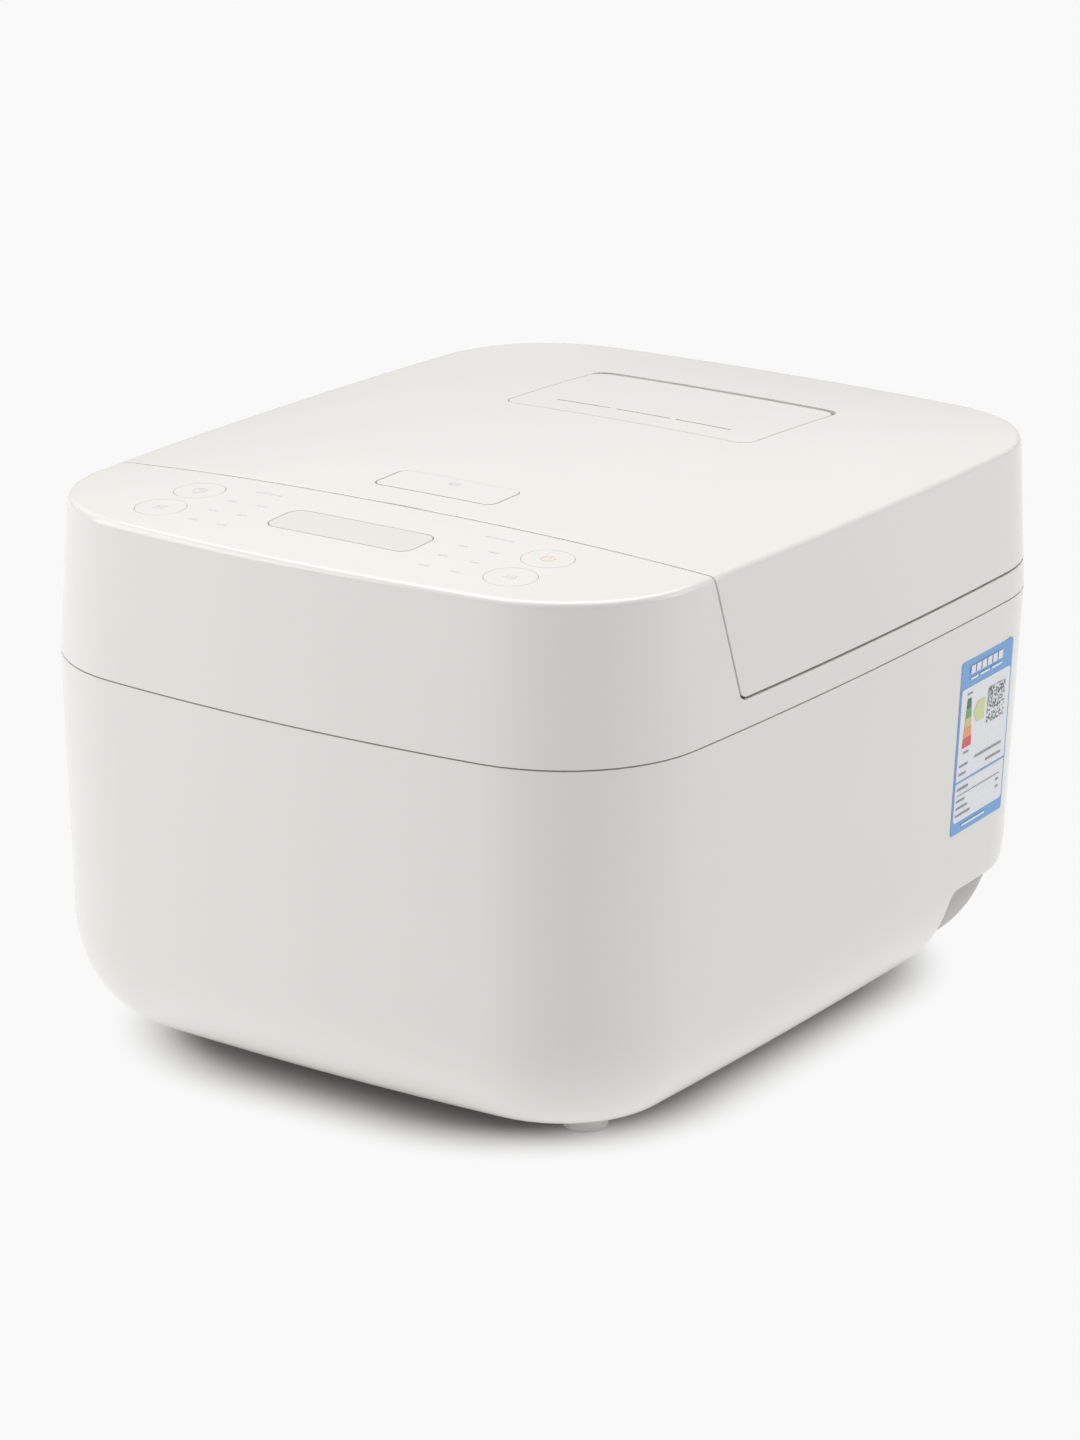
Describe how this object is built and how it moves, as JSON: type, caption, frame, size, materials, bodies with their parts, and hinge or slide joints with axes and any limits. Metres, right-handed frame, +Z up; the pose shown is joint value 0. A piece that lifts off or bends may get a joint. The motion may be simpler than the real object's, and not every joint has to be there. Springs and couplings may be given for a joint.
{
  "type": "rice cooker",
  "caption": "Free-standing rice cooker: rounded white body, hinged lid with release flap and lift-off steam vent cover, front control panel with keys, removable coated pot.",
  "frame": {"origin": "centre of the footprint, on the surface that the feet stand on", "axes": "+Z up; the control panel is at the -Y end; +X is the object's right seen from the front"},
  "size_m": [0.255, 0.3226, 0.2031],
  "materials": {
    "white_gloss_plastic": "moulded gloss",
    "window_plastic": "polished, smoked lightly",
    "white_satin_plastic": "moulded satin",
    "light_grey_plastic": "moulded satin",
    "black_plastic": "moulded",
    "silicone": "moulded, milky",
    "aluminium": "pressed and turned",
    "plated_steel": "zinc plated",
    "plated_brass": "nickel plated",
    "non_stick_aluminium": "dark non-stick coating",
    "circuit_board": "solder resist",
    "insulating_wrap": "mica and glass tape",
    "relay_case": "moulded",
    "printed_label": "printed film",
    "red_lead": "extruded",
    "blue_lead": "extruded"
  },
  "bodies": {
    "cooker_body": {"band_heater": "insulating_wrap", "base_cover": "light_grey_plastic", "base_screw_front_left": "plated_steel", "base_screw_front_right": "plated_steel", "base_screw_rear_left": "plated_steel", "base_screw_rear_right": "plated_steel", "control_board": "circuit_board", "control_housing": "white_gloss_plastic", "deck_plate": "white_satin_plastic", "display_module": "black_plastic", "display_window": "window_plastic", "energy_label": "printed_label", "filter_capacitor": "black_plastic", "foot_front_left": "white_satin_plastic", "foot_front_right": "white_satin_plastic", "foot_rear_left": "white_satin_plastic", "foot_rear_right": "white_satin_plastic", "heat_shield": "plated_steel", "heating_plate": "aluminium", "hinge_barrel": "white_satin_plastic", "hinge_pin": "plated_steel", "hinge_spring_left": "plated_steel", "hinge_spring_right": "plated_steel", "inlet_pin_earth": "plated_brass", "inlet_pin_live": "plated_brass", "inlet_pin_neutral": "plated_brass", "inlet_socket": "black_plastic", "inner_pot": "non_stick_aluminium", "live_lead": "red_lead", "neutral_lead": "blue_lead", "outer_body": "white_gloss_plastic", "power_board": "circuit_board", "relay": "relay_case", "tact_switch_menu": "black_plastic", "tact_switch_start": "black_plastic", "tact_switch_timer": "black_plastic", "tact_switch_warm": "black_plastic", "thermostat_bracket": "plated_steel", "thermostat_spring": "plated_steel", "transformer": "insulating_wrap"},
    "lid": {"lid_cover": "white_gloss_plastic", "lid_lining": "white_satin_plastic", "inner_lid_plate": "aluminium", "lid_gasket": "silicone", "lid_sensor": "plated_brass", "hinge_arm_left": "plated_steel", "hinge_arm_right": "plated_steel", "latch_pin": "plated_steel", "latch_spring": "plated_steel", "steam_vent_cup": "white_satin_plastic", "vent_gasket": "silicone"},
    "release_flap": {"lid_release_flap": "white_gloss_plastic"},
    "latch": {"latch_hook": "light_grey_plastic"},
    "vent_cap": {"steam_vent_cap": "white_gloss_plastic"},
    "thermostat": {"thermostat_plunger": "aluminium"},
    "timer_key": {"key_timer": "white_gloss_plastic"},
    "menu_key": {"key_menu": "white_gloss_plastic"},
    "start_key": {"key_start": "white_gloss_plastic"},
    "warm_key": {"key_warm": "white_gloss_plastic"}
  },
  "joints": [
    {"name": "lid_hinge", "type": "hinge", "parent": "cooker_body", "child": "lid", "pos_m": [0, 0.151, 0.1615], "axis": [-1, 0, 0], "range_deg": [0, 85]},
    {"name": "flap_press", "type": "hinge", "parent": "lid", "child": "release_flap", "pos_m": [0, -0.057, 0.2013], "axis": [1, 0, 0], "range_deg": [0, 4], "stiffness_Nm_per_rad": 0.05, "springref_deg": -5.73},
    {"name": "latch_swing", "type": "hinge", "parent": "lid", "child": "latch", "pos_m": [0, -0.0625, 0.184], "axis": [1, 0, 0], "range_deg": [0, 6], "stiffness_Nm_per_rad": 0.05, "springref_deg": -8.59},
    {"name": "vent_cap_lift", "type": "slide", "parent": "lid", "child": "vent_cap", "axis": [0, 0, 1], "range_m": [0, 0.03]},
    {"name": "thermostat_press", "type": "slide", "parent": "cooker_body", "child": "thermostat", "axis": [0, 0, 1], "range_m": [-0.003, 0], "stiffness_N_per_m": 150, "springref_m": 0.004, "deforming": ["thermostat_spring"]},
    {"name": "timer_press", "type": "slide", "parent": "cooker_body", "child": "timer_key", "axis": [0, 0, -1], "range_m": [0, 0.0004], "stiffness_N_per_m": 400, "springref_m": -0.0004},
    {"name": "menu_press", "type": "slide", "parent": "cooker_body", "child": "menu_key", "axis": [0, 0, -1], "range_m": [0, 0.0004], "stiffness_N_per_m": 400, "springref_m": -0.0004},
    {"name": "start_press", "type": "slide", "parent": "cooker_body", "child": "start_key", "axis": [0, 0, -1], "range_m": [0, 0.0004], "stiffness_N_per_m": 400, "springref_m": -0.0004},
    {"name": "warm_press", "type": "slide", "parent": "cooker_body", "child": "warm_key", "axis": [0, 0, -1], "range_m": [0, 0.0004], "stiffness_N_per_m": 400, "springref_m": -0.0004}
  ],
  "couplings": [
    {"joint": "latch_swing", "follows": "flap_press", "ratio": 1.48}
  ]
}
